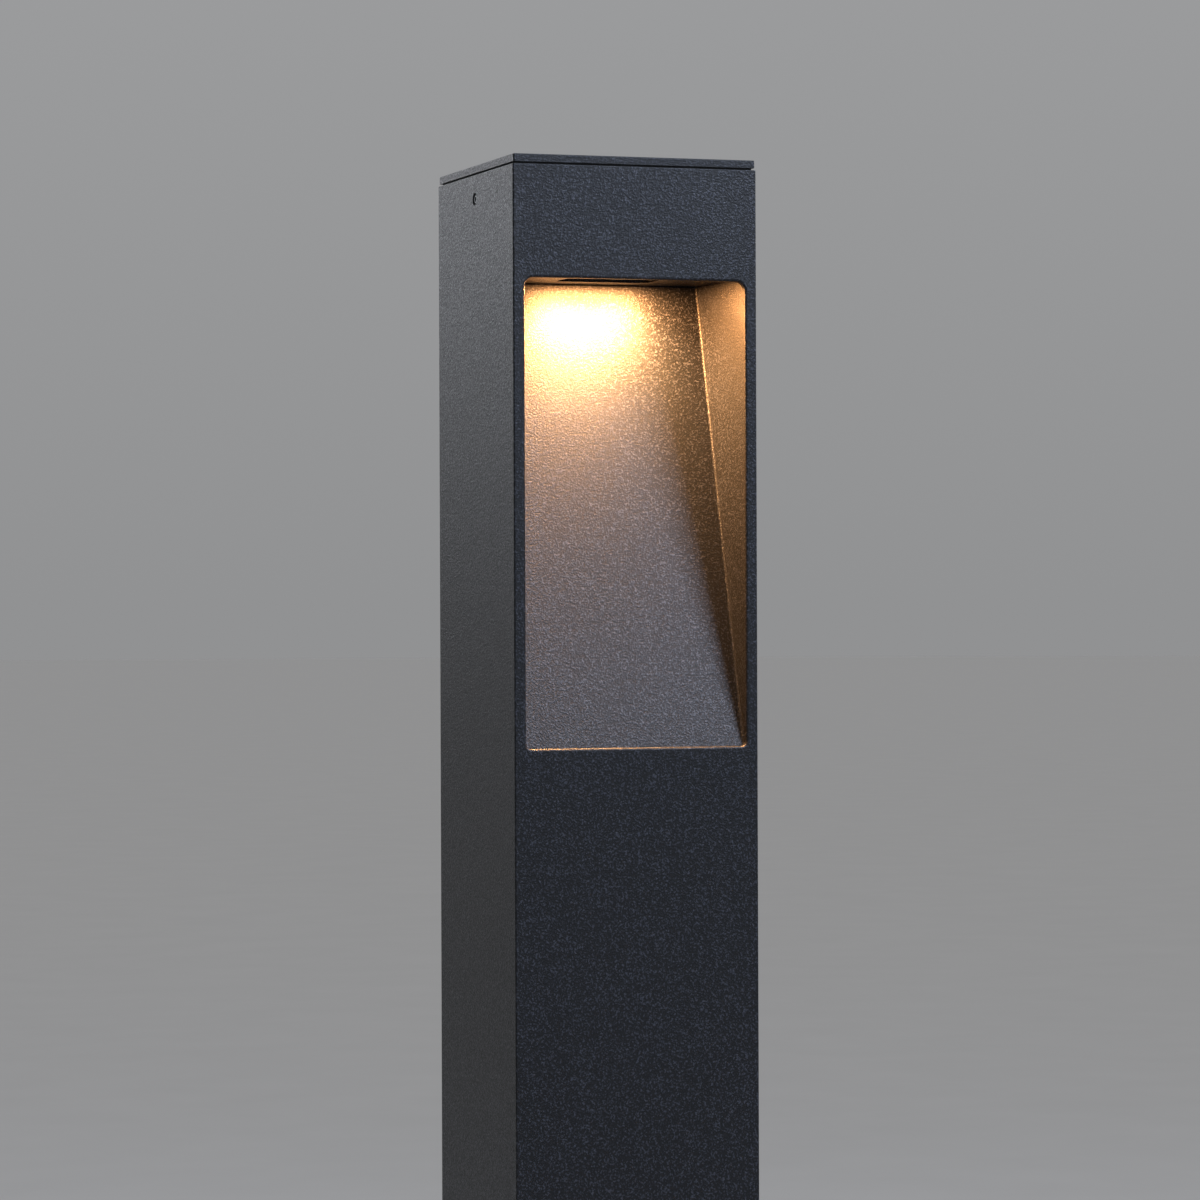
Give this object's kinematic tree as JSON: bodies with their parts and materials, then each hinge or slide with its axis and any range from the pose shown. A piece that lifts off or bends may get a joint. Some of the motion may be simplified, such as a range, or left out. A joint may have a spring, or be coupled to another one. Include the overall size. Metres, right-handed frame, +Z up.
{
  "type": "bollard light",
  "caption": "Square garden bollard light: a slim column with a lit, sloping recess near its top, a flat cap and a bolt-down foot.",
  "frame": {"origin": "centre of the foot plate's underside, which is the middle of the box's bottom", "axes": "+Z up along the column, -Y out of the lit recess (the front), +X to the right as seen from the front"},
  "size_m": [0.12, 0.12, 1],
  "materials": {
    "powder_coat": "fine-textured matt anthracite powder coat on aluminium",
    "recess_coat": "the same textured powder coat inside the lit recess",
    "foot_steel": "hot-dip galvanised steel, dull grey",
    "sheet_aluminium": "mill-finish aluminium sheet",
    "cast_aluminium": "bead-blasted die-cast aluminium",
    "sink_aluminium": "black anodised extruded heat sink",
    "stainless": "A2 stainless steel fasteners",
    "blackened_steel": "blackened stainless grub screws",
    "brass": "bright brass terminals",
    "rubber": "black EPDM",
    "silicone": "grey silicone",
    "glass": "clear tempered glass",
    "lens": "clear moulded acrylic optic",
    "board": "white solder mask on an aluminium-core board",
    "led": "warm white LED packages under yellow phosphor",
    "box_plastic": "grey moulded polycarbonate",
    "gland_plastic": "black moulded polyamide",
    "block_plastic": "natural moulded polyamide",
    "driver_case": "satin anodised extruded case",
    "lead_jacket": "black rubber-jacketed lead"
  },
  "bodies": {
    "foot": {"foot_plate": "foot_steel", "foot_spigot": "foot_steel"},
    "column": {"column_tube": "powder_coat", "recess_tray": "recess_coat", "lamp_deck": "recess_coat", "deck_grommet": "rubber", "glass_gasket": "silicone", "lamp_glass": "glass", "lamp_housing": "cast_aluminium", "heat_sink": "sink_aluminium", "thermal_pad": "silicone", "led_board": "board", "led_chips": "led", "lamp_lens": "lens", "board_screws": "stainless", "housing_nuts": "stainless", "vent_plug": "gland_plastic", "lamp_gland": "gland_plastic", "led_lead": "lead_jacket", "lead_clips": "gland_plastic", "gear_tray": "sheet_aluminium", "driver_case": "driver_case", "driver_end_caps": "gland_plastic", "driver_screws": "stainless", "terminal_box": "box_plastic", "box_screws": "stainless", "box_gasket": "rubber", "terminal_lid": "box_plastic", "lid_screws": "stainless", "terminal_block": "block_plastic", "terminal_screws": "brass", "supply_gland": "gland_plastic", "supply_gland_nut": "gland_plastic", "link_gland": "gland_plastic", "link_gland_nut": "gland_plastic", "link_lead": "lead_jacket", "earth_stud": "stainless", "earth_nut": "brass", "rear_screws": "blackened_steel"},
    "cap": {"cap_plate": "powder_coat", "cap_skirt": "sheet_aluminium", "cap_gasket": "rubber"},
    "cap_screw_left": {"cap_screw_left": "blackened_steel"},
    "cap_screw_right": {"cap_screw_right": "blackened_steel"},
    "foot_screw_left": {"foot_screw_left": "blackened_steel"},
    "foot_screw_right": {"foot_screw_right": "blackened_steel"}
  },
  "joints": [
    {"name": "column_lift", "type": "slide", "parent": "foot", "child": "column", "axis": [0, 0, 1], "range_m": [0, 0.12]},
    {"name": "cap_lift", "type": "slide", "parent": "column", "child": "cap", "axis": [0, 0, 1], "range_m": [0, 0.04]},
    {"name": "cap_screw_left_out", "type": "slide", "parent": "column", "child": "cap_screw_left", "axis": [-1, 0, 0], "range_m": [0, 0.006]},
    {"name": "cap_screw_right_out", "type": "slide", "parent": "column", "child": "cap_screw_right", "axis": [1, 0, 0], "range_m": [0, 0.006]},
    {"name": "foot_screw_left_out", "type": "slide", "parent": "column", "child": "foot_screw_left", "axis": [-1, 0, 0], "range_m": [0, 0.006]},
    {"name": "foot_screw_right_out", "type": "slide", "parent": "column", "child": "foot_screw_right", "axis": [1, 0, 0], "range_m": [0, 0.006]}
  ]
}
